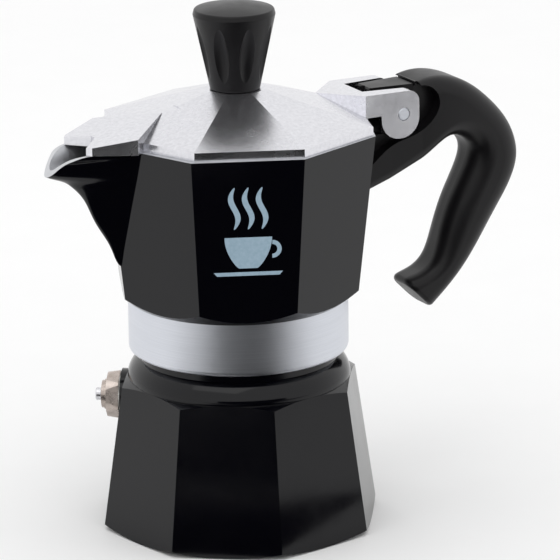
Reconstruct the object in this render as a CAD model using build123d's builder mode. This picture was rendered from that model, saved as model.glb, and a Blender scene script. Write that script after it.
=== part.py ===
from build123d import *
import os
from math import atan2, cos, degrees, radians, sin

# Stovetop coffee maker, millimetres. Z is up, the handle points to +X and the spout to -X.
# Heights are drawn from the level of the boiler's base corners. The pieces are raised by
# FLOOR_DROP when they are written, so that the origin is the centre of the underside.

# --- driving dimensions ---------------------------------------------------------------
SIDES = 8
FLAT = cos(radians(180 / SIDES))          # apothem of an octagon over its corner radius

BOILER_TURN = -11.26                      # how far the boiler's corners sit from the top's
BOILER_CORNER = 44.68                     # corner radius at the floor
BOILER_TAPER = 0.1478                     # corner radius lost per mm of height
BOILER_FLOOR = 2.6                        # inside of the boiler's base
FLOOR_DROP = 0.8                          # underside below the level of the base corners
SHOULDER_Z = 45.0                         # where the boiler's corner edges end
BOILER_SHOULDER_CORNER = BOILER_CORNER - BOILER_TAPER * SHOULDER_Z
DRUM_RADIUS = 34.9                        # round shoulder above the facets
DRUM_Z = 47.2                             # where the shoulder starts to curve in
NECK_RADIUS = 31.2
NECK_Z = 52.8
MOUTH_RADIUS = 28.0
RIM_Z = 66.0                              # boiler's mouth

VALVE_Z = 38.3
VALVE_ANGLE = BOILER_TURN + 180 - 22.5    # the valve sits in the middle of one facet
VALVE_BOSS = 37.0                         # distance of the boss face from the pot's axis
VALVE_BORE = 4.85
VALVE_TRAVEL = 1.5

COLLAR_RADIUS = 34.34
COLLAR_Z = 55.3
COLLAR_ROUND = 1.5
SEAT_RADIUS = 32.1                        # recess that holds the gasket
THREAD_RADIUS = 31.5
GASKET_Z = 67.0
GASKET_TOP = 70.0
PLATE_TOP = 70.7

CHAMBER_Z = 76.0                          # lower corners of the upper chamber
CHAMBER_TOP = 125.5
CHAMBER_CORNER = 39.13
CHAMBER_TOP_CORNER = 44.76
CHAMBER_FLARE = (CHAMBER_TOP_CORNER - CHAMBER_CORNER) / (CHAMBER_TOP - CHAMBER_Z)
CHAMBER_WALL = 2.4
CHAMBER_FLOOR = 79.0
COLUMN_TOP = 113.0

SPOUT_ROOT = 39.3                         # where the spout leaves the facets
LIP_GAP = 0.05                            # between the chamber's rim and the lid

LID_SHIFT = 0.7
LID_CORNER = 43.4
LID_EDGE = 128.2                          # top of the lid's upright rim
LID_SLOPE = 0.312
LID_FLAT = 138.0                          # seat of the knob
LID_SKIN = 1.9

BEAK_START = 25.3
BEAK_Z = 133.4
BEAK_SLOPE = 0.188

BLOCK_START = 28.0                        # point of the hinge block on the lid's ridge
BLOCK_Z = 132.8
EAR_OUTSIDE = 11.7
SLOT_START = 41.4
SLOT_NARROW = 5.9
SLOT_WIDE = 7.8

PIN_X = 53.0
PIN_Z = 125.2
PIN_RADIUS = 2.0
WEB_HALF = 5.3                            # handle's tongue between the lid's ears
LUG_HALF = 1.6

KNOB_TOP = 164.5
KNOB_FOOT_RADIUS = 7.7
KNOB_HEAD_RADIUS = 12.72
KNOB_CROWN_RADIUS = 12.3
KNOB_CROWN_Z = 163.0
FLUTE_TURN = -5.5                         # first flute's bearing from the handle


def corner_radius(z):
    """Corner radius of the upper chamber's outside at a height."""
    return CHAMBER_CORNER + CHAMBER_FLARE * (z - CHAMBER_Z)


def frustum(z_low, corner_low, z_high, corner_high, turn=0.0):
    """Eight-sided tapered block, added to the part being built."""
    with BuildSketch(Plane.XY.offset(z_low)) as low:
        RegularPolygon(corner_low, SIDES, rotation=turn)
    with BuildSketch(Plane.XY.offset(z_high)) as high:
        RegularPolygon(corner_high, SIDES, rotation=turn)
    loft(sections=[low.sketch.face(), high.sketch.face()])


def turned(points, mode=Mode.ADD):
    """Body of revolution about Z from (radius, height) points."""
    with BuildSketch(Plane.XZ) as profile:
        with BuildLine():
            Polyline(*points, close=True)
        make_face()
    revolve(profile.sketch, axis=Axis.Z, mode=mode)


# --- boiler ---------------------------------------------------------------------------
valve_direction = Vector(cos(radians(VALVE_ANGLE)), sin(radians(VALVE_ANGLE)), 0)
valve_plane = Plane(origin=(0, 0, VALVE_Z), x_dir=(0, 0, 1), z_dir=valve_direction)


def valve_at(distance):
    """Plane square to the valve's axis, at a distance from the pot's axis."""
    return valve_plane.offset(distance)


with BuildPart() as boiler:
    frustum(-FLOOR_DROP, BOILER_CORNER + BOILER_TAPER * FLOOR_DROP,
            DRUM_Z, BOILER_CORNER - BOILER_TAPER * DRUM_Z, BOILER_TURN)
    ledge_slope = 0.43
    ledge_inner = SHOULDER_Z + (BOILER_SHOULDER_CORNER - DRUM_RADIUS) * ledge_slope
    turned(
        [(0, -FLOOR_DROP), (41.25, -FLOOR_DROP), (48, 2.4), (48, SHOULDER_Z - (48 - BOILER_SHOULDER_CORNER) * ledge_slope),
         (DRUM_RADIUS, ledge_inner), (0, ledge_inner)],
        mode=Mode.INTERSECT,
    )
    with BuildSketch(Plane.XZ) as drum_profile:
        with BuildLine():
            wall = Line((DRUM_RADIUS, SHOULDER_Z - 1), (DRUM_RADIUS, DRUM_Z))
            shoulder = ThreePointArc(wall @ 1, (33.7, 50.3), (NECK_RADIUS, NECK_Z))
            Polyline(shoulder @ 1, (NECK_RADIUS, RIM_Z - 0.6), (NECK_RADIUS - 0.6, RIM_Z), (20, RIM_Z),
                     (20, SHOULDER_Z - 1), wall @ 0)
        make_face()
    revolve(drum_profile.sketch, axis=Axis.Z)
    with BuildSketch(valve_at(30)) as boss:
        Circle(8.3)
    extrude(boss.sketch, amount=VALVE_BOSS - 30)
    turned(
        [(0, BOILER_FLOOR), (36.4, BOILER_FLOOR), (37.6, BOILER_FLOOR + 2), (31.7, SHOULDER_Z),
         (31.2, 47.0), (MOUTH_RADIUS, 50.6), (MOUTH_RADIUS, RIM_Z + 1), (0, RIM_Z + 1)],
        mode=Mode.SUBTRACT,
    )
    with BuildSketch(valve_at(25)) as valve_hole:
        Circle(VALVE_BORE)
    extrude(valve_hole.sketch, amount=20, mode=Mode.SUBTRACT)
boiler.part.label = "boiler"


# --- safety valve ---------------------------------------------------------------------
HEX_INNER = VALVE_BOSS + 0.6              # the gasket lies between boss and hexagon
HEX_OUTER = 41.5
HEX_CORNER = 7.8
VALVE_STEM = 4.8
CHAMBER_BORE = 3.4                        # bore that the spring works in
SEAT_FACE = 31.5
CAP_INNER = 42.4
CAP_OUTER = 43.3
PIN_SHAFT = 0.9

with BuildPart() as valve_body:
    with BuildSketch(valve_at(HEX_INNER)) as hexagon:
        RegularPolygon(HEX_CORNER, 6, rotation=12)
    extrude(hexagon.sketch, amount=HEX_OUTER - HEX_INNER)
    with BuildSketch(valve_at(HEX_INNER)) as hex_round:
        Circle(HEX_CORNER - 0.25)
    extrude(hex_round.sketch, amount=HEX_OUTER - HEX_INNER, taper=8, mode=Mode.INTERSECT)
    with BuildSketch(valve_at(30)) as stem:
        Circle(VALVE_STEM)
    extrude(stem.sketch, amount=CAP_INNER - 30)
    with BuildSketch(valve_at(SEAT_FACE)) as spring_bore:
        Circle(CHAMBER_BORE)
    extrude(spring_bore.sketch, amount=20, mode=Mode.SUBTRACT)
    with BuildSketch(valve_at(29)) as inlet:
        Circle(1.6)
    extrude(inlet.sketch, amount=4, mode=Mode.SUBTRACT)
valve_body.part.label = "valve_body"

with BuildPart() as valve_gasket:
    with BuildSketch(valve_at(VALVE_BOSS)) as valve_ring:
        Circle(6.6)
        Circle(VALVE_STEM + 0.05, mode=Mode.SUBTRACT)
    extrude(valve_ring.sketch, amount=HEX_INNER - VALVE_BOSS)
valve_gasket.part.label = "valve_gasket"

with BuildPart() as valve_cap:
    with BuildSketch(valve_at(CAP_INNER)) as cap_disc:
        Circle(4.35)
    extrude(cap_disc.sketch, amount=CAP_OUTER - CAP_INNER)
    with BuildSketch(valve_at(CAP_INNER - 1)) as cap_plug:
        Circle(CHAMBER_BORE)
    extrude(cap_plug.sketch, amount=1)
    with BuildSketch(valve_at(CAP_INNER - 2)) as cap_bore:
        Circle(PIN_SHAFT + 0.08)
    extrude(cap_bore.sketch, amount=4, mode=Mode.SUBTRACT)
valve_cap.part.label = "valve_cap"

PIN_FLANGE = 33.1                         # inner face of the flange that the spring pushes on
with BuildPart() as valve_pin:
    with BuildSketch(valve_at(SEAT_FACE + 0.2)) as pin_shaft:
        Circle(PIN_SHAFT)
    extrude(pin_shaft.sketch, amount=44.5 - SEAT_FACE)
    with BuildSketch(valve_at(PIN_FLANGE)) as pin_flange:
        Circle(3.0)
    extrude(pin_flange.sketch, amount=0.8)
    with BuildSketch(valve_at(CAP_OUTER + 0.45)) as pin_head:
        Circle(2.0)
    extrude(pin_head.sketch, amount=1.65)
    fillet(valve_pin.edges().filter_by(GeomType.CIRCLE).sort_by(SortBy.DISTANCE)[-1:], radius=0.4)
valve_pin.part.label = "valve_pin"

with BuildPart() as valve_seal:
    with BuildSketch(valve_at(SEAT_FACE + 0.02)) as seal_disc:
        Circle(2.9)
        Circle(PIN_SHAFT, mode=Mode.SUBTRACT)
    extrude(seal_disc.sketch, amount=PIN_FLANGE - SEAT_FACE - 0.02)
valve_seal.part.label = "valve_seal"

SPRING_START = PIN_FLANGE + 0.8 + VALVE_TRAVEL + 0.45
SPRING_WIRE = 0.3
with BuildPart() as valve_spring:
    with BuildLine() as coil:
        Helix(pitch=1.1, height=CAP_INNER - 1.4 - SPRING_START, radius=2.4,
              center=valve_at(SPRING_START).origin, direction=valve_direction)
    with BuildSketch(Plane(origin=coil.line @ 0, z_dir=coil.line % 0)) as wire:
        Circle(SPRING_WIRE)
    sweep(sections=wire.sketch, path=coil.line, is_frenet=True)
valve_spring.part.label = "valve_spring"


# --- coffee funnel --------------------------------------------------------------------
BASKET_RADIUS = 26.6
BASKET_FLOOR = 46.0
SHEET = 0.7
STEM_RADIUS = 3.6

with BuildPart() as coffee_funnel:
    turned([
        (30.6, RIM_Z), (30.6, RIM_Z + 1.0), (BASKET_RADIUS - SHEET, RIM_Z + 1.0),
        (BASKET_RADIUS - SHEET, BASKET_FLOOR - 0.6), (STEM_RADIUS - SHEET, 40.6),
        (STEM_RADIUS - SHEET, 8.0), (STEM_RADIUS, 8.0), (STEM_RADIUS, 40.0),
        (BASKET_RADIUS, BASKET_FLOOR - 1.4), (BASKET_RADIUS, RIM_Z),
    ])
coffee_funnel.part.label = "coffee_funnel"


def perforated(radius, z_low, z_high, hole_radius, rings):
    """Round sieve plate with rings of holes, added to the part being built."""
    with BuildSketch(Plane.XY.offset(z_low)) as sieve:
        Circle(radius)
        for ring, count in rings:
            with PolarLocations(ring, count):
                Circle(hole_radius, mode=Mode.SUBTRACT)
    extrude(sieve.sketch, amount=z_high - z_low)


SIEVE_RINGS = [(4.5, 6), (9.0, 12), (13.5, 18), (18.0, 24)]
with BuildPart() as funnel_screen:
    perforated(BASKET_RADIUS - SHEET, BASKET_FLOOR - 0.6, BASKET_FLOOR, 0.8, SIEVE_RINGS)
funnel_screen.part.label = "funnel_screen"


# --- gasket and filter plate ----------------------------------------------------------
with BuildPart() as gasket:
    with BuildSketch(Plane.XY.offset(GASKET_Z)) as gasket_ring:
        Circle(SEAT_RADIUS - 0.2)
        Circle(26.4, mode=Mode.SUBTRACT)
    extrude(gasket_ring.sketch, amount=GASKET_TOP - GASKET_Z)
    fillet(gasket.edges().filter_by(GeomType.CIRCLE), radius=0.5)
gasket.part.label = "gasket"

with BuildPart() as filter_plate:
    perforated(28.4, GASKET_TOP, PLATE_TOP, 0.8, SIEVE_RINGS)
filter_plate.part.label = "filter_plate"


# --- upper chamber --------------------------------------------------------------------
# Keel of the spout: (height, distance of its nose from the axis). The rim trims its top.
KEEL = [
    (87.0, 40.6), (92.5, 43.3), (99.4, 47.2), (106.2, 50.6), (111.0, 53.3), (114.4, 56.6),
    (116.6, 60.2), (118.2, 64.4), (120.3, 67.6), (123.0, 71.4), (127.0, 77.0),
]


def spout_solid(back_shift=0.0, lift=0.0, inner_end=30.0):
    """Pointed spout, lofted through level sections; shifted back and up it is its inside."""
    sections = []
    for z, nose in KEEL:
        half = 0.9 + 12.7 * (z - KEEL[0][0]) / (CHAMBER_TOP - KEEL[0][0])
        root = -SPOUT_ROOT + back_shift
        tip = -nose + back_shift
        middle = (root + tip) / 2
        with BuildSketch(Plane.XY.offset(z + lift)) as level:
            with BuildLine():
                back = Line((root, -half), (-inner_end, -half))
                across = Line(back @ 1, (-inner_end, half))
                side = Line(across @ 1, (root, half))
                Spline(side @ 1, (middle, 0.57 * half), (tip, 0), (middle, -0.57 * half), back @ 0)
            make_face()
        sections.append(level.sketch.face())
    loft(sections=sections)


LIP = [(-80, 116.0), (-66, 117.0), (-64.7, 118.7), (-64, 119.5), (-62, 121.9), (-60, 123.6),
       (-57.5, 124.8), (-54, CHAMBER_TOP)]

with BuildPart() as chamber_shape:
    low_z = 71.0
    frustum(low_z, corner_radius(low_z), CHAMBER_TOP, CHAMBER_TOP_CORNER)
    turned(
        [(0, 71.0), (33.4, 71.0), (COLLAR_RADIUS, 72.1), (36.2, 73.5), (39.2, 76.0),
         (60, 92.0), (60, 130), (0, 130)],
        mode=Mode.INTERSECT,
    )
    spout_solid()
    turned([(0, COLLAR_Z), (COLLAR_RADIUS, COLLAR_Z), (COLLAR_RADIUS, 72.1), (0, 72.1)])
    lowest_rings = chamber_shape.edges().filter_by(GeomType.CIRCLE).group_by(Axis.Z)[0]
    fillet(lowest_rings.sort_by(SortBy.RADIUS)[-1:], radius=COLLAR_ROUND)

with BuildPart() as spout_inside:
    spout_solid(back_shift=3.1, lift=1.2, inner_end=26.0)

with BuildPart() as chamber_inside:
    inset = CHAMBER_WALL / FLAT
    frustum(CHAMBER_FLOOR, corner_radius(CHAMBER_FLOOR) - inset,
            CHAMBER_TOP + 5, corner_radius(CHAMBER_TOP + 5) - inset)

with BuildPart() as upper_chamber:
    add(chamber_shape.part)
    add(chamber_inside.part, mode=Mode.SUBTRACT)
    add(spout_inside.part, mode=Mode.SUBTRACT)
    with BuildSketch(Plane.XZ) as lip_profile:
        with BuildLine():
            lip = Spline(*LIP[1:])
            Polyline(lip @ 1, (-30, CHAMBER_TOP), (-30, 140), (-90, 140), (-90, LIP[0][1]), lip @ 0)
        make_face()
    extrude(lip_profile.sketch, amount=30, both=True, mode=Mode.SUBTRACT)
    turned([
        (0, 70), (16, 70), (16, CHAMBER_FLOOR - 2), (8.6, CHAMBER_FLOOR), (7.2, 84),
        (5.2, COLUMN_TOP - 2), (4.2, COLUMN_TOP), (0, COLUMN_TOP),
    ])
    turned(
        [(0, COLLAR_Z - 1), (THREAD_RADIUS + 0.8, COLLAR_Z - 1), (THREAD_RADIUS, COLLAR_Z + 0.6),
         (THREAD_RADIUS, RIM_Z + 0.4), (SEAT_RADIUS, RIM_Z + 0.4), (SEAT_RADIUS, GASKET_TOP),
         (28.5, GASKET_TOP), (28.5, PLATE_TOP), (24, PLATE_TOP + 0.6), (3.4, CHAMBER_FLOOR - 2.4),
         (2.6, 84), (2.6, COLUMN_TOP + 1), (0, COLUMN_TOP + 1)],
        mode=Mode.SUBTRACT,
    )
    with BuildSketch(Plane.XZ.offset(-LUG_HALF)) as lug_profile:
        with BuildLine():
            Polyline((38.6, 107), (44.0, 108.5), (57.0, 122.4), (56.4, 128.4), (50.4, 129.6),
                     (45.6, 124.6), (42.4, 124.6), (42.4, 121), (40.6, 116), close=True)
        make_face()
        fillet(lug_profile.vertices().sort_by(Axis.X)[-3:], radius=2.5)
    extrude(lug_profile.sketch, amount=2 * LUG_HALF)
    with BuildSketch(Plane.XZ.offset(-20)) as lug_bore:
        with Locations((PIN_X, PIN_Z)):
            Circle(PIN_RADIUS)
    extrude(lug_bore.sketch, amount=40, mode=Mode.SUBTRACT)
upper_chamber.part.label = "upper_chamber"


# --- lid ------------------------------------------------------------------------------
LID_CENTRE = (LID_SHIFT, 0)
LID_APOTHEM = LID_CORNER * FLAT
CREASE_CORNER = (LID_SHIFT + LID_CORNER * cos(radians(45)), LID_CORNER * sin(radians(45)), LID_EDGE)
CREASE_LOW = (39.3, 12.0, 125.9)


def lid_octagon(z, apothem):
    """Level eight-sided face about the lid's own centre."""
    with BuildSketch(Plane.XY.offset(z)) as level:
        with Locations(LID_CENTRE):
            RegularPolygon(apothem / FLAT, SIDES)
    return level.sketch.face()


def beak_block(drop, inset, bottom):
    """Block under the cover's sloping plane, dropped and inset for its underside."""
    half = [
        (-BEAK_START - 1.6 * inset, 0), (-41.2, -15.6 + 1.2 * inset), (-53.6 + inset, -9.4 + inset),
        (-54.8 + inset, -7.7 + inset), (-48.8 + inset, -1.4),
    ]
    mirrored = [(x, -y) for x, y in reversed(half[1:])]
    with BuildSketch(Plane.XY.offset(bottom)) as plan:
        with BuildLine():
            Polyline(*half, *mirrored, close=True)
        make_face()
    extrude(plan.sketch, amount=12)
    end = 65
    start = 20
    with BuildSketch(Plane.XZ) as above:
        with BuildLine():
            Polyline(
                (-start, BEAK_Z - drop + BEAK_SLOPE * (BEAK_START - start)),
                (-end, BEAK_Z - drop - BEAK_SLOPE * (end - BEAK_START)), (-end, 150), (-start, 150),
                close=True,
            )
        make_face()
    extrude(above.sketch, amount=25, both=True, mode=Mode.SUBTRACT)


lid_low = CHAMBER_TOP + LIP_GAP
seat_apothem = LID_APOTHEM - (LID_FLAT - LID_EDGE) / LID_SLOPE
under_apothem = (LID_CORNER - 2.0) * FLAT
under_edge = LID_EDGE - LID_SKIN + (LID_APOTHEM - under_apothem) * LID_SLOPE
under_top = LID_FLAT - LID_SKIN

with BuildPart() as lid_hollow:
    loft(sections=[lid_octagon(lid_low - 1, under_apothem), lid_octagon(under_edge, under_apothem)])
    loft(sections=[lid_octagon(under_edge, under_apothem),
                   lid_octagon(under_top, under_apothem - (under_top - under_edge) / LID_SLOPE)])
    with BuildSketch(Plane.XY.offset(100)) as back_block:
        with Locations((BLOCK_START - 1.5 + 40, 0)):
            Rectangle(80, 120)
    extrude(back_block.sketch, amount=60, mode=Mode.SUBTRACT)
    beak_block(LID_SKIN, 2.0, lid_low - 1)

with BuildPart() as hinge_block:
    with BuildSketch(Plane.XZ) as ear_profile:
        with BuildLine():
            Polyline((BLOCK_START - 2, lid_low), (BLOCK_START - 2, BLOCK_Z), (58.5, BLOCK_Z - 0.3),
                     (58.5, 117.6), (45.5, 117.6), (45.0, lid_low), close=True)
        make_face()
        fillet(ear_profile.vertices().filter_by(lambda v: v.Y < 118), radius=6.4)
        fillet(ear_profile.vertices().filter_by(lambda v: v.X > 58 and v.Y > 130), radius=3.8)
    extrude(ear_profile.sketch, amount=EAR_OUTSIDE, both=True)
    with BuildSketch(Plane.XY.offset(110)) as block_plan:
        with BuildLine():
            Polyline((BLOCK_START, 0), (39.4, -EAR_OUTSIDE), (70, -EAR_OUTSIDE), (70, EAR_OUTSIDE),
                     (39.4, EAR_OUTSIDE), close=True)
        make_face()
    extrude(block_plan.sketch, amount=30, mode=Mode.INTERSECT)

with BuildPart() as lid:
    loft(sections=[lid_octagon(lid_low, LID_APOTHEM), lid_octagon(LID_EDGE, LID_APOTHEM)])
    loft(sections=[lid_octagon(LID_EDGE, LID_APOTHEM), lid_octagon(LID_FLAT, seat_apothem)])
    # the two back facets fall away from the ridge to the rim beside the hinge block
    ridge_point = Vector(BLOCK_START, 0, BLOCK_Z + 0.05)
    for side in (1, -1):
        to_corner = Vector(CREASE_CORNER[0], side * CREASE_CORNER[1], CREASE_CORNER[2]) - ridge_point
        to_low = Vector(CREASE_LOW[0], side * CREASE_LOW[1], CREASE_LOW[2]) - ridge_point
        crease = Plane(origin=ridge_point, x_dir=to_corner, z_dir=to_low.cross(to_corner) * side)
        with BuildSketch(crease) as fall:
            Rectangle(150, 150)
        extrude(fall.sketch, amount=15, mode=Mode.SUBTRACT)
    beak_block(0, 0, lid_low)
    add(lid_hollow.part, mode=Mode.SUBTRACT)
    add(hinge_block.part)
    with BuildSketch(Plane.XY.offset(110)) as slot:
        with BuildLine():
            Polyline((SLOT_START, -SLOT_NARROW), (64, -SLOT_WIDE - 0.6), (64, SLOT_WIDE + 0.6),
                     (SLOT_START, SLOT_NARROW), close=True)
        make_face()
    extrude(slot.sketch, amount=30, mode=Mode.SUBTRACT)
    with BuildSketch(Plane.XZ.offset(-20)) as lid_bore:
        with Locations((PIN_X, PIN_Z)):
            Circle(PIN_RADIUS + 0.06)
    extrude(lid_bore.sketch, amount=40, mode=Mode.SUBTRACT)
    with BuildSketch(Plane.XY.offset(LID_FLAT - 4)) as screw_hole:
        Circle(2.0)
    extrude(screw_hole.sketch, amount=8, mode=Mode.SUBTRACT)
lid.part.label = "lid"


# --- knob and its fixing --------------------------------------------------------------
flute_foot = Vector(KNOB_FOOT_RADIUS, 0, LID_FLAT)
flute_head = Vector(KNOB_HEAD_RADIUS, 0, KNOB_TOP - 3.1)
flute_lean = flute_head - flute_foot
flute_middle = flute_foot + flute_lean * 0.515

# spindle-shaped cutter, standing outside the knob's cone so that it bites 1.3 mm deep
with BuildPart() as flute_cutter:
    with BuildSketch(Plane.XZ) as spindle:
        with BuildLine():
            belly = ThreePointArc((0, -14.9), (3.56, 0), (0, 14.9))
            Line(belly @ 1, belly @ 0)
        make_face()
    revolve(spindle.sketch, axis=Axis.Z)

with BuildPart() as knob:
    with BuildSketch(Plane.XZ) as knob_profile:
        with BuildLine():
            outline = Polyline((0, LID_FLAT), (KNOB_FOOT_RADIUS, LID_FLAT), (KNOB_HEAD_RADIUS, KNOB_TOP - 3.1),
                               (KNOB_CROWN_RADIUS, KNOB_CROWN_Z))
            dome_radius = (KNOB_CROWN_RADIUS ** 2 / (KNOB_TOP - KNOB_CROWN_Z) + KNOB_TOP - KNOB_CROWN_Z) / 2
            dome_centre = KNOB_TOP - dome_radius
            dome_edge = degrees(atan2(KNOB_CROWN_Z - dome_centre, KNOB_CROWN_RADIUS))
            CenterArc((0, dome_centre), dome_radius, dome_edge, 90 - dome_edge)
            Line((0, KNOB_TOP), outline @ 0)
        make_face()
        fillet(knob_profile.vertices().filter_by(lambda v: v.X > 7 and v.Y < 139), radius=0.6)
        fillet(knob_profile.vertices().filter_by(lambda v: v.X > 12 and v.Y > 160), radius=0.7)
    revolve(knob_profile.sketch, axis=Axis.Z)
    for step in range(SIDES):
        turn = Rotation(0, 0, FLUTE_TURN + step * 360 / SIDES)
        middle = Plane(origin=flute_middle + Vector(2.26, 0, -0.45), z_dir=flute_lean)
        with Locations(turn * Location(middle)):
            add(flute_cutter.part, mode=Mode.SUBTRACT)
    with BuildSketch(Plane.XY.offset(LID_FLAT)) as insert_hole:
        Circle(2.8)
    extrude(insert_hole.sketch, amount=10, mode=Mode.SUBTRACT)
knob.part.label = "knob"

with BuildPart() as knob_insert:
    with BuildSketch(Plane.XY.offset(LID_FLAT + 0.4)) as insert_ring:
        Circle(2.8)
        Circle(1.5, mode=Mode.SUBTRACT)
    extrude(insert_ring.sketch, amount=9.6)
knob_insert.part.label = "knob_insert"

WASHER_Z = LID_FLAT - LID_SKIN - 0.6
with BuildPart() as knob_washer:
    with BuildSketch(Plane.XY.offset(WASHER_Z)) as washer_ring:
        Circle(4.6)
        Circle(1.7, mode=Mode.SUBTRACT)
    extrude(washer_ring.sketch, amount=0.6)
knob_washer.part.label = "knob_washer"

with BuildPart() as knob_screw:
    with BuildSketch(Plane.XY.offset(WASHER_Z)) as shank:
        Circle(1.5)
    extrude(shank.sketch, amount=9.5)
    with BuildSketch(Plane.XY.offset(WASHER_Z - 1.8)) as head:
        Circle(3.2)
    extrude(head.sketch, amount=1.8)
    fillet(knob_screw.edges().filter_by(GeomType.CIRCLE).group_by(Axis.Z)[0], radius=0.8)
    with BuildSketch(Plane.XY.offset(WASHER_Z - 1.8)) as drive:
        Rectangle(4.2, 0.9)
        Rectangle(0.9, 4.2)
    extrude(drive.sketch, amount=1.0, mode=Mode.SUBTRACT)
knob_screw.part.label = "knob_screw"


# --- handle and hinge pin -------------------------------------------------------------
# Inner point, outer point (both x, z), width and corner radius of each cross-section.
ROOT_END = 61.0                           # straight root of the handle ends here
HANDLE_SECTIONS = [
    ((38.0, 99.6), (38.0, 132.8), 19.0, 3.0),
    ((50.0, 103.6), (50.0, 132.8), 19.0, 3.2),
    ((ROOT_END, 108.1), (ROOT_END, 133.4), 19.4, 4.0),
    ((67.0, 111.6), (69.5, 134.3), 20.0, 5.0),
    ((72.5, 114.1), (79.5, 130.9), 20.0, 6.0),
    ((77.6, 113.2), (88.5, 124.0), 19.4, 6.6),
    ((80.9, 110.0), (95.6, 115.4), 18.6, 7.0),
    ((81.1, 105.6), (98.7, 105.6), 18.0, 7.4),
    ((79.0, 100.6), (97.0, 98.0), 17.6, 7.4),
    ((74.6, 92.0), (91.3, 88.2), 17.0, 7.2),
    ((70.8, 81.3), (84.6, 77.9), 16.0, 6.4),
    ((67.8, 73.6), (78.3, 69.8), 15.0, 5.0),
    ((63.0, 70.2), (73.0, 64.2), 14.4, 4.6),
    ((57.4, 67.6), (66.6, 58.4), 14.0, 4.4),
]

ROOT_SECTIONS = [
    ((37.0, 99.3), (37.0, 134.0), 19.0, 3.0),
    ((50.0, 103.6), (50.0, 134.0), 19.0, 3.2),
    HANDLE_SECTIONS[2],
]


def handle_ring(inner, outer, width, corner):
    """Rounded cross-section of the handle between its inner and outer outline."""
    across = Vector(outer[0] - inner[0], 0, outer[1] - inner[1])
    middle = Vector((inner[0] + outer[0]) / 2, 0, (inner[1] + outer[1]) / 2)
    station = Plane(origin=middle, x_dir=across, z_dir=across.cross(Vector(0, 1, 0)))
    with BuildSketch(station) as ring:
        RectangleRounded(across.length, width, corner)
    return ring.sketch.face()


with BuildPart() as pot_side:
    frustum(90, corner_radius(90) + 0.05, 140, corner_radius(140) + 0.05)

with BuildPart() as handle:
    loft(sections=[handle_ring(*section) for section in HANDLE_SECTIONS])
    fillet(handle.faces().sort_by(Axis.Z)[0].edges(), radius=1.4)
    with BuildSketch(Plane.XZ) as root_side:
        with BuildLine():
            Polyline((20, 85), (ROOT_END, 85), (ROOT_END, 150), (20, 150), close=True)
        make_face()
    extrude(root_side.sketch, amount=20, both=True, mode=Mode.SUBTRACT)
    loft(sections=[handle_ring(*section) for section in ROOT_SECTIONS], ruled=True)
    # pockets for the lid's ears, one on each side of the tongue
    for side in (1, -1):
        with BuildSketch(Plane.XZ.offset(-side * WEB_HALF)) as pocket:
            with BuildLine():
                sweep_wall = Spline((30, 101), (44.0, 110.6), (50.6, 115.2), (58.0, 117.4), (64.6, 121.6),
                                    (67.0, 127.0), (65.2, 131.2), (61.2, 132.6))
                Polyline(sweep_wall @ 1, (61.2, 140), (20, 140), (20, 101), sweep_wall @ 0)
            make_face()
        extrude(pocket.sketch, amount=-side * 20, mode=Mode.SUBTRACT)
    with BuildSketch(Plane.XZ) as over_tongue:
        with BuildLine():
            Polyline((20, 124.0), (44.9, 124.0), (44.9, 132.3), (45.4, 132.8), (60.0, 132.8), (60.0, 132.0),
                     (60.5, 132.0), (60.5, 140), (20, 140), close=True)
        make_face()
    extrude(over_tongue.sketch, amount=20, both=True, mode=Mode.SUBTRACT)
    # the tongue narrows towards the pot, as the slot between the ears does
    for side in (1, -1):
        with BuildSketch(Plane.XY.offset(118)) as tongue_taper:
            with BuildLine():
                Polyline((40, side * 3.2), (60.0, side * WEB_HALF), (60.0, side * 9), (40, side * 9), close=True)
            make_face()
        extrude(tongue_taper.sketch, amount=20, mode=Mode.SUBTRACT)
    add(pot_side.part, mode=Mode.SUBTRACT)
    with BuildSketch(Plane.XZ.offset(-LUG_HALF - 0.05)) as lug_slot:
        with BuildLine():
            Polyline((36, 104), (44.4, 107.6), (58.4, 122.4), (58.4, 130.4), (36, 130.4), close=True)
        make_face()
    extrude(lug_slot.sketch, amount=2 * LUG_HALF + 0.1, mode=Mode.SUBTRACT)
    with BuildSketch(Plane.XZ.offset(-20)) as handle_bore:
        with Locations((PIN_X, PIN_Z)):
            Circle(PIN_RADIUS)
    extrude(handle_bore.sketch, amount=40, mode=Mode.SUBTRACT)
handle.part.label = "handle"

with BuildPart() as hinge_pin:
    with BuildSketch(Plane.XZ.offset(-EAR_OUTSIDE - 0.1)) as pin_end:
        with Locations((PIN_X, PIN_Z)):
            Circle(PIN_RADIUS)
    extrude(pin_end.sketch, amount=2 * EAR_OUTSIDE + 0.2)
    chamfer(hinge_pin.edges().filter_by(GeomType.CIRCLE), length=0.25)
hinge_pin.part.label = "hinge_pin"


# --- output ---------------------------------------------------------------------------
PIECES = [
    boiler, valve_body, valve_gasket, valve_cap, valve_pin, valve_seal, valve_spring,
    coffee_funnel, funnel_screen, gasket, filter_plate, upper_chamber, handle, hinge_pin,
    lid, knob, knob_insert, knob_washer, knob_screw,
]

os.makedirs("parts", exist_ok=True)
for piece in PIECES:
    standing = piece.part.moved(Location((0, 0, FLOOR_DROP)))
    standing.label = piece.part.label
    export_step(standing, f"parts/{standing.label}.step")
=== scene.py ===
from math import cos, pi, radians, sin

import bmesh
import bpy
from mathutils import Matrix, Vector


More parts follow.
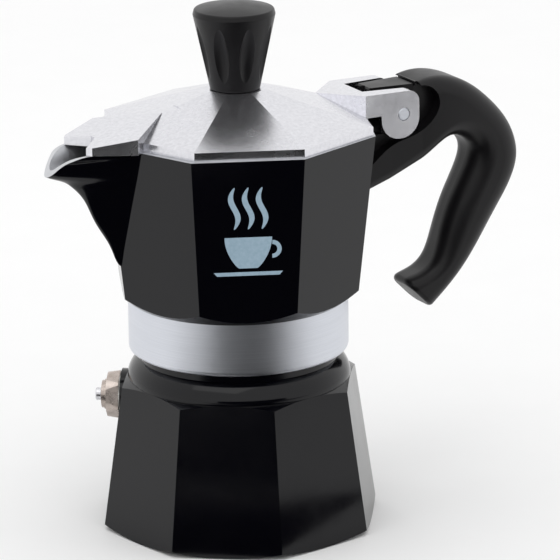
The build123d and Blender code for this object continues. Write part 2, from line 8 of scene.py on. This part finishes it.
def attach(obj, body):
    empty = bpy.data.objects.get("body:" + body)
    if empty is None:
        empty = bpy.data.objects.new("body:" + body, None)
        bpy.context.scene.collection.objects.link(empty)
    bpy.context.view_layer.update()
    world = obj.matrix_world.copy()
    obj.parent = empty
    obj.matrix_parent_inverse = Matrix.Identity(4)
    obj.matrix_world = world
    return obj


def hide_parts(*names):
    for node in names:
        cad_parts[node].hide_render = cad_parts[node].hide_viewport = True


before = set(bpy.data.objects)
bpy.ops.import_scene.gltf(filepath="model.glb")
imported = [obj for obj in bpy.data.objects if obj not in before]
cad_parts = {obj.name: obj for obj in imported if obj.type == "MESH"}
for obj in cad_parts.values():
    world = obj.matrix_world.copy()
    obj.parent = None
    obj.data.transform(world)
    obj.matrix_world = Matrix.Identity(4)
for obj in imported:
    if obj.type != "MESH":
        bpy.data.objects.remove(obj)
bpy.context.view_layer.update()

MM = 0.001

# --- the castings, millimetres ----------------------------------------------------------
BOILER_PAINT_TOP = 56.4            # bare neck above this level
BOILER_FLOOR_ZONE = 10             # upward faces below this level are the inside of the base
BOILER_UNDERSIDE = 1               # all faces below this level are painted
CREASE = radians(24)               # sharper edges of the boiler stay sharp
MERGE_GAP = 0.002

COLLAR_TOP = 73.0                  # turned band below, paint above
COLLAR_INSIDE = 31.4               # radius that is still inside the collar
WALL_INSIDE = 33                   # radius that is still inside the chamber
LUG_X = 42.5
LUG_HALF_WIDTH = 1.7

FACET_BEARING = radians(-112.5)    # the chamber's front facet
FACET_CORNER = 39.13               # radius of the facet's corners at FACET_Z
FACET_Z = 76.8
FACET_FLARE = 0.11374              # growth of that radius for each millimetre up
CORNER_TO_FACE = cos(radians(22.5))

# --- the emblem, millimetres across the facet and up ------------------------------------
EMBLEM_Z = 104.0
INK_DEPTH = 0.03                   # half of the print's thickness, which straddles the facet
BOWL_HALF_WIDTH = 7.2
BOWL_BASE_SHARE = 0.38             # width of the bowl's base as a share of its mouth
STEAM_STEPS = 32
BOWL_STEPS = 24

# --- the studio, metres -----------------------------------------------------------------
# name, bearing in degrees, middle's distance and height, width, height of each dark board
STANDING_FLAGS = [("flag_front", -105, 0.95, 0.11, 1.30, 0.22)]
# name, bearing in degrees, middle's distance, width across the bearing, depth along it
LYING_FLAGS = [("flag_near", -113.5, 0.175, 0.28, 0.25), ("flag_far", -100, 0.62, 0.90, 0.64)]
FLAG_LIFT = 0.0004
FLOOR_DROP = 0.0002
FLOOR_SIZE = 8
KEY_PLACE = (-0.5, -0.3, 1.5)
KEY_TARGET = (0, 0, 0.08)
KEY_SIZE = 1.2
KEY_POWER = 3
CAMERA_LENS = 284.0
CAMERA_SENSOR = 36.0
CAMERA_REACH = 50
CAMERA_PLACE = (-0.60672, -1.16962, 0.46903)
CAMERA_RIGHT = (0.8814, -0.4722, -0.0113)
CAMERA_BACK = (-0.4498, -0.8464, 0.2852)


# --- materials -------------------------------------------------------------------------
class Finish:
    """A material with its shader, and short ways to add texture nodes to it."""

    def __init__(self, name, colour, metallic=0.0, roughness=0.4, specular=0.5):
        self.material = bpy.data.materials.new(name)
        self.material.use_nodes = True
        self.tree = self.material.node_tree
        self.shader = self.tree.nodes["Principled BSDF"]
        self.shader.inputs["Base Color"].default_value = (*colour, 1)
        self.shader.inputs["Metallic"].default_value = metallic
        self.shader.inputs["Roughness"].default_value = roughness
        self.shader.inputs["Specular IOR Level"].default_value = specular
        self.material.diffuse_color = (*colour, 1)
        self.last_bump = None

    def node(self, kind, **settings):
        """New node, with its sockets or its own settings filled in by name."""
        made = self.tree.nodes.new(kind)
        for key, value in settings.items():
            if key in made.inputs:
                made.inputs[key].default_value = value
            else:
                setattr(made, key, value)
        return made

    def link(self, source, target):
        self.tree.links.new(source, target)

    def noise(self, scale, stretch=(1, 1, 1), detail=4.0, rough=0.6):
        """Noise on the object's own coordinates, stretched along an axis by its scale there."""
        where = self.node("ShaderNodeTexCoord")
        mapping = self.node("ShaderNodeMapping", Scale=stretch)
        noise = self.node("ShaderNodeTexNoise", Scale=scale, Detail=detail, Roughness=rough)
        self.link(where.outputs["Object"], mapping.inputs["Vector"])
        self.link(mapping.outputs["Vector"], noise.inputs["Vector"])
        return noise.outputs["Fac"]

    def spread(self, value, low, high, start=0.3, end=0.7):
        """Maps the middle of a 0 to 1 pattern onto a range."""
        ramp = self.node("ShaderNodeMapRange")
        ramp.inputs["From Min"].default_value = start
        ramp.inputs["From Max"].default_value = end
        ramp.inputs["To Min"].default_value = low
        ramp.inputs["To Max"].default_value = high
        self.link(value, ramp.inputs["Value"])
        return ramp.outputs["Result"]

    def vary_roughness(self, value, low, high):
        self.link(self.spread(value, low, high), self.shader.inputs["Roughness"])

    def vary_colour(self, value, dark, light):
        mix = self.node("ShaderNodeMix", data_type="RGBA")
        mix.inputs[6].default_value = (*dark, 1)
        mix.inputs[7].default_value = (*light, 1)
        self.link(self.spread(value, 0.0, 1.0), mix.inputs[0])
        self.link(mix.outputs[2], self.shader.inputs["Base Color"])

    def bump(self, value, depth, strength=1.0):
        """Raises the surface by a pattern, depth in metres, on top of any earlier bump."""
        bump = self.node("ShaderNodeBump", Strength=strength, Distance=depth)
        self.link(value, bump.inputs["Height"])
        if self.last_bump is not None:
            self.link(self.last_bump, bump.inputs["Normal"])
        self.last_bump = bump.outputs["Normal"]
        self.link(self.last_bump, self.shader.inputs["Normal"])


def black_enamel():
    """Glossy baked coat of both castings."""
    finish = Finish("black_enamel", (0.0012, 0.0012, 0.0024), roughness=0.11, specular=0.33)
    finish.vary_roughness(finish.noise(90), 0.09, 0.16)
    finish.bump(finish.noise(260, detail=2), 0.00002, 0.25)
    finish.bump(finish.noise(2600, detail=2), 0.000004, 0.3)
    return finish.material


def turned_aluminium():
    """Lathe-finished band: fine rings round the axis."""
    finish = Finish("turned_aluminium", (0.62, 0.64, 0.69), metallic=1.0, roughness=0.3)
    rings = finish.noise(60, stretch=(0.6, 0.6, 120), detail=6, rough=0.75)
    finish.vary_roughness(rings, 0.30, 0.46)
    finish.vary_colour(rings, (0.60, 0.62, 0.67), (0.74, 0.76, 0.81))
    finish.bump(rings, 0.00006, 0.5)
    return finish.material


def polished_aluminium():
    """Satin-polished sheet and casting of the lid and the sieves."""
    finish = Finish("polished_aluminium", (0.86, 0.86, 0.88), metallic=1.0, roughness=0.2)
    finish.vary_roughness(finish.noise(45, detail=5), 0.19, 0.30)
    finish.vary_colour(finish.noise(900, detail=3), (0.70, 0.70, 0.735), (0.80, 0.80, 0.835))
    finish.bump(finish.noise(1400, detail=3), 0.000006, 0.4)
    return finish.material


def cast_aluminium():
    """Unpolished casting inside the pot."""
    finish = Finish("cast_aluminium", (0.66, 0.67, 0.69), metallic=1.0, roughness=0.42)
    grain = finish.noise(700, detail=6)
    finish.vary_roughness(grain, 0.36, 0.55)
    finish.vary_colour(finish.noise(60), (0.58, 0.59, 0.61), (0.72, 0.73, 0.75))
    finish.bump(grain, 0.00003, 0.4)
    return finish.material


def moulded_phenolic():
    """Dull black plastic of the handle and the knob."""
    finish = Finish("moulded_phenolic", (0.0035, 0.003, 0.0038), roughness=0.36, specular=0.3)
    finish.vary_roughness(finish.noise(120), 0.31, 0.42)
    finish.bump(finish.noise(3200, detail=3), 0.000012, 0.45)
    return finish.material


def satin_nickel():
    """Plating of the safety valve."""
    finish = Finish("satin_nickel", (0.52, 0.46, 0.42), metallic=1.0, roughness=0.26)
    finish.vary_roughness(finish.noise(500), 0.2, 0.36)
    finish.vary_colour(finish.noise(300), (0.44, 0.38, 0.34), (0.60, 0.53, 0.49))
    finish.bump(finish.noise(1800), 0.00001, 0.4)
    return finish.material


def bright_steel():
    finish = Finish("bright_steel", (0.68, 0.68, 0.70), metallic=1.0, roughness=0.2)
    finish.vary_roughness(finish.noise(800), 0.15, 0.3)
    return finish.material


def plain_brass():
    finish = Finish("plain_brass", (0.75, 0.56, 0.25), metallic=1.0, roughness=0.3)
    finish.vary_roughness(finish.noise(700), 0.24, 0.4)
    return finish.material


def white_silicone():
    finish = Finish("white_silicone", (0.78, 0.77, 0.73), roughness=0.55)
    finish.vary_roughness(finish.noise(300), 0.48, 0.62)
    finish.bump(finish.noise(1500), 0.00002, 0.3)
    return finish.material


def printed_ink():
    finish = Finish("printed_ink", (0.27, 0.38, 0.46), roughness=0.45)
    finish.vary_colour(finish.noise(900), (0.24, 0.35, 0.43), (0.30, 0.41, 0.50))
    return finish.material


def floor_paper():
    finish = Finish("floor_paper", (0.93, 0.93, 0.93), roughness=0.8, specular=0.1)
    finish.vary_colour(finish.noise(30), (0.925, 0.925, 0.925), (0.935, 0.935, 0.935))
    return finish.material


def black_flag():
    finish = Finish("black_flag", (0.004, 0.004, 0.004), roughness=0.9, specular=0.0)
    finish.vary_colour(finish.noise(2), (0.003, 0.003, 0.003), (0.005, 0.005, 0.005))
    return finish.material


ENAMEL = black_enamel()
TURNED = turned_aluminium()
POLISHED = polished_aluminium()
CAST = cast_aluminium()
PHENOLIC = moulded_phenolic()
NICKEL = satin_nickel()
STEEL = bright_steel()
BRASS = plain_brass()
SILICONE = white_silicone()
INK = printed_ink()

NODE_FINISH = {
    "valve_body": NICKEL, "valve_cap": NICKEL, "valve_pin": STEEL, "valve_spring": STEEL,
    "valve_gasket": SILICONE, "valve_seal": SILICONE, "gasket": SILICONE,
    "coffee_funnel": CAST, "funnel_screen": POLISHED, "filter_plate": POLISHED,
    "handle": PHENOLIC, "knob": PHENOLIC, "hinge_pin": TURNED, "lid": POLISHED,
    "knob_insert": BRASS, "knob_washer": STEEL, "knob_screw": STEEL,
    "boiler": ENAMEL, "upper_chamber": ENAMEL,
}


# --- castings that wear several finishes ------------------------------------------------
def finish_copy(node, name, body):
    """Copy of a frame node that takes the node's place, so that it can wear several finishes."""
    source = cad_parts[node]
    mesh = source.data.copy()
    mesh.name = name
    mesh.materials.clear()
    mesh.transform(source.matrix_world)
    piece = bpy.data.objects.new(name, mesh)
    bpy.context.scene.collection.objects.link(piece)
    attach(piece, body)
    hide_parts(node)
    return piece


def finish_faces(piece, finishes, choose):
    """Gives every face the finish whose index choose(centre, normal, outward) returns."""
    for finish in finishes:
        piece.data.materials.append(finish)
    for face in piece.data.polygons:
        radial = Vector((face.center.x, face.center.y, 0)).normalized()
        face.material_index = choose(face.center, face.normal, face.normal.dot(radial))


def chamber_face(centre, normal, outward):
    """0 for enamel, 1 for the turned collar, 2 for bare casting."""
    radius = centre.xy.length
    if centre.z < COLLAR_TOP * MM and radius > COLLAR_INSIDE * MM:
        return 1
    is_lug = abs(centre.y) < LUG_HALF_WIDTH * MM and centre.x > LUG_X * MM
    faces_out = outward > 0.02 and normal.z < 0.5
    painted = centre.z > COLLAR_TOP * MM and faces_out and radius > WALL_INSIDE * MM
    return 0 if painted and not is_lug else 2


def boiler_face(centre, normal, outward):
    """0 for enamel, 1 for bare casting."""
    if centre.z > BOILER_PAINT_TOP * MM:
        return 1
    inside = outward < -0.05 or (normal.z > 0.9 and centre.z < BOILER_FLOOR_ZONE * MM)
    return 1 if inside and centre.z > BOILER_UNDERSIDE * MM else 0


def cut_level(mesh, height):
    """Splits the faces that cross a level and smooths what is not an edge of the casting."""
    form = bmesh.new()
    form.from_mesh(mesh)
    bmesh.ops.remove_doubles(form, verts=form.verts, dist=MERGE_GAP * MM)
    bmesh.ops.bisect_plane(form, geom=form.verts[:] + form.edges[:] + form.faces[:],
                           plane_co=(0, 0, height), plane_no=(0, 0, 1))
    for face in form.faces:
        face.smooth = True
    for edge in form.edges:
        edge.smooth = len(edge.link_faces) == 2 and edge.calc_face_angle() < CREASE
    form.to_mesh(mesh)
    form.free()


def make_chamber():
    piece = finish_copy("upper_chamber", "chamber_casting", "upper")
    finish_faces(piece, [ENAMEL, TURNED, CAST], chamber_face)


def make_boiler():
    piece = finish_copy("boiler", "boiler_casting", "boiler")
    cut_level(piece.data, BOILER_PAINT_TOP * MM)
    finish_faces(piece, [ENAMEL, CAST], boiler_face)


# --- emblem ------------------------------------------------------------------------------
def facet_place():
    """Puts (across, up, proud) in millimetres onto the chamber's front facet, in metres."""
    out = Vector((cos(FACET_BEARING), sin(FACET_BEARING), 0))
    side = Vector((-out.y, out.x, 0))
    slope = out * FACET_FLARE * CORNER_TO_FACE + Vector((0, 0, 1))
    foot = out * (FACET_CORNER - FACET_FLARE * FACET_Z) * CORNER_TO_FACE
    place = Matrix((side, slope, side.cross(slope).normalized())).transposed().to_4x4()
    return Matrix.Scale(MM, 4) @ Matrix.Translation(foot) @ place


def printed_strip(form, steps, edges_at):
    """Flat strip whose left and right edge points edges_at(share) gives, made a thin plate."""
    grid = bmesh.ops.create_grid(form, x_segments=1, y_segments=steps, size=1)["verts"]
    for vert in grid:
        share = (vert.co.y + 1) / 2
        left, right = edges_at(share)
        vert.co = (*(left if vert.co.x < 0 else right), -INK_DEPTH)
    faces = list({face for vert in grid for face in vert.link_faces})
    raised = bmesh.ops.extrude_face_region(form, geom=faces)["geom"]
    bmesh.ops.translate(form, verts=[v for v in raised if isinstance(v, bmesh.types.BMVert)],
                        vec=(0, 0, 2 * INK_DEPTH))


def bowl_edges(share):
    """Round-bottomed bowl."""
    round_off = sin(pi / 2 * share) ** 0.75
    half = BOWL_HALF_WIDTH * (BOWL_BASE_SHARE + (1 - BOWL_BASE_SHARE) * round_off)
    up = EMBLEM_Z - 12 + 10 * share
    return (-half, up), (half, up)


def ear_edges(share):
    """Cup's handle: part of a ring, from below to above."""
    turn = radians(-88 + 176 * share)
    inner, outer = ((BOWL_HALF_WIDTH + radius * cos(turn), EMBLEM_Z - 6 + radius * sin(turn))
                    for radius in (1.6, 2.9))
    return inner, outer


def saucer_edges(share):
    half = 9.5 + share
    up = EMBLEM_Z - 14.4 + 1.2 * share
    return (-half, up), (half, up)


def steam_edges(share, across):
    """Wavy rising ribbon that narrows at both ends."""
    middle = across + 1.1 * sin(2 * pi * share)
    half = 0.95 * (0.12 + 0.88 * sin(pi * share) ** 0.6)
    up = EMBLEM_Z + 0.6 + 13.4 * share
    return (middle - half, up), (middle + half, up)


def make_emblem():
    """Plain steaming cup on a saucer, printed on the front facet."""
    form = bmesh.new()
    printed_strip(form, BOWL_STEPS, bowl_edges)
    printed_strip(form, STEAM_STEPS, ear_edges)
    printed_strip(form, 1, saucer_edges)
    for across in (-4.2, 0.0, 4.2):
        printed_strip(form, STEAM_STEPS, lambda share: steam_edges(share, across))
    form.transform(facet_place())
    form.normal_update()
    bmesh.ops.recalc_face_normals(form, faces=form.faces)
    mesh = bpy.data.meshes.new("chamber_emblem")
    form.to_mesh(mesh)
    form.free()
    mesh.materials.append(INK)
    emblem = bpy.data.objects.new("chamber_emblem", mesh)
    bpy.context.scene.collection.objects.link(emblem)
    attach(emblem, "upper")


# --- studio ----------------------------------------------------------------------------
def card(name, middle, facing, width, height, finish, turn=0.0):
    """Flat rectangle of the studio, square to the direction it faces."""
    form = bmesh.new()
    bmesh.ops.create_grid(form, x_segments=1, y_segments=1, size=0.5)
    bmesh.ops.scale(form, verts=form.verts, vec=(width, height, 1))
    aim = Vector(facing).to_track_quat("Z", "Y").to_matrix().to_4x4()
    form.transform(Matrix.Translation(middle) @ aim @ Matrix.Rotation(turn, 4, "Z"))
    mesh = bpy.data.meshes.new(name)
    form.to_mesh(mesh)
    form.free()
    mesh.materials.append(finish)
    board = bpy.data.objects.new(name, mesh)
    bpy.context.scene.collection.objects.link(board)
    return board


def bearing_direction(bearing):
    return Vector((cos(radians(bearing)), sin(radians(bearing)), 0))


def make_flags():
    """Dark boards on the camera's side that show only in reflections."""
    black = black_flag()
    flags = []
    for name, bearing, distance, middle, width, height in STANDING_FLAGS:
        out = bearing_direction(bearing)
        place = out * distance + Vector((0, 0, middle))
        flags.append(card(name, place, -out, width, height, black))
    for name, bearing, distance, width, depth in LYING_FLAGS:
        place = bearing_direction(bearing) * distance + Vector((0, 0, FLAG_LIFT))
        flags.append(card(name, place, (0, 0, 1), width, depth, black, turn=radians(bearing + 90)))
    for flag in flags:
        flag.visible_camera = False
        flag.visible_diffuse = False
        flag.visible_shadow = False


def make_key_light():
    lamp = bpy.data.lights.new("key_light", "AREA")
    lamp.shape = "RECTANGLE"
    lamp.size = KEY_SIZE
    lamp.size_y = KEY_SIZE
    lamp.energy = KEY_POWER
    holder = bpy.data.objects.new("key_light", lamp)
    holder.location = KEY_PLACE
    aim = Vector(KEY_TARGET) - Vector(KEY_PLACE)
    holder.rotation_euler = aim.to_track_quat("-Z", "Y").to_euler()
    bpy.context.scene.collection.objects.link(holder)


def make_surroundings():
    """Even white light from all round."""
    world = bpy.data.worlds.new("studio")
    world.use_nodes = True
    world.node_tree.nodes["Background"].inputs["Color"].default_value = (1, 1, 1, 1)
    world.node_tree.nodes["Background"].inputs["Strength"].default_value = 1.0
    bpy.context.scene.world = world


def make_camera():
    """Long lens, slightly rolled, looking down on the pot from the spout's side of its front."""
    lens = bpy.data.cameras.new("camera")
    lens.lens = CAMERA_LENS
    lens.sensor_width = CAMERA_SENSOR
    lens.clip_end = CAMERA_REACH
    right = Vector(CAMERA_RIGHT).normalized()
    back = Vector(CAMERA_BACK)
    back = (back - right * back.dot(right)).normalized()
    turn = Matrix((right, back.cross(right), back)).transposed().to_4x4()
    camera = bpy.data.objects.new("camera", lens)
    camera.matrix_world = Matrix.Translation(CAMERA_PLACE) @ turn
    bpy.context.scene.collection.objects.link(camera)
    bpy.context.scene.camera = camera


for node, finish in NODE_FINISH.items():
    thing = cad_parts[node]
    thing.data.materials.clear()
    thing.data.materials.append(finish)

make_chamber()
make_boiler()
make_emblem()

card("floor", (0, 0, -FLOOR_DROP), (0, 0, 1), FLOOR_SIZE, FLOOR_SIZE, floor_paper())
make_flags()
make_key_light()
make_surroundings()
make_camera()
bpy.context.scene.view_settings.view_transform = "Standard"
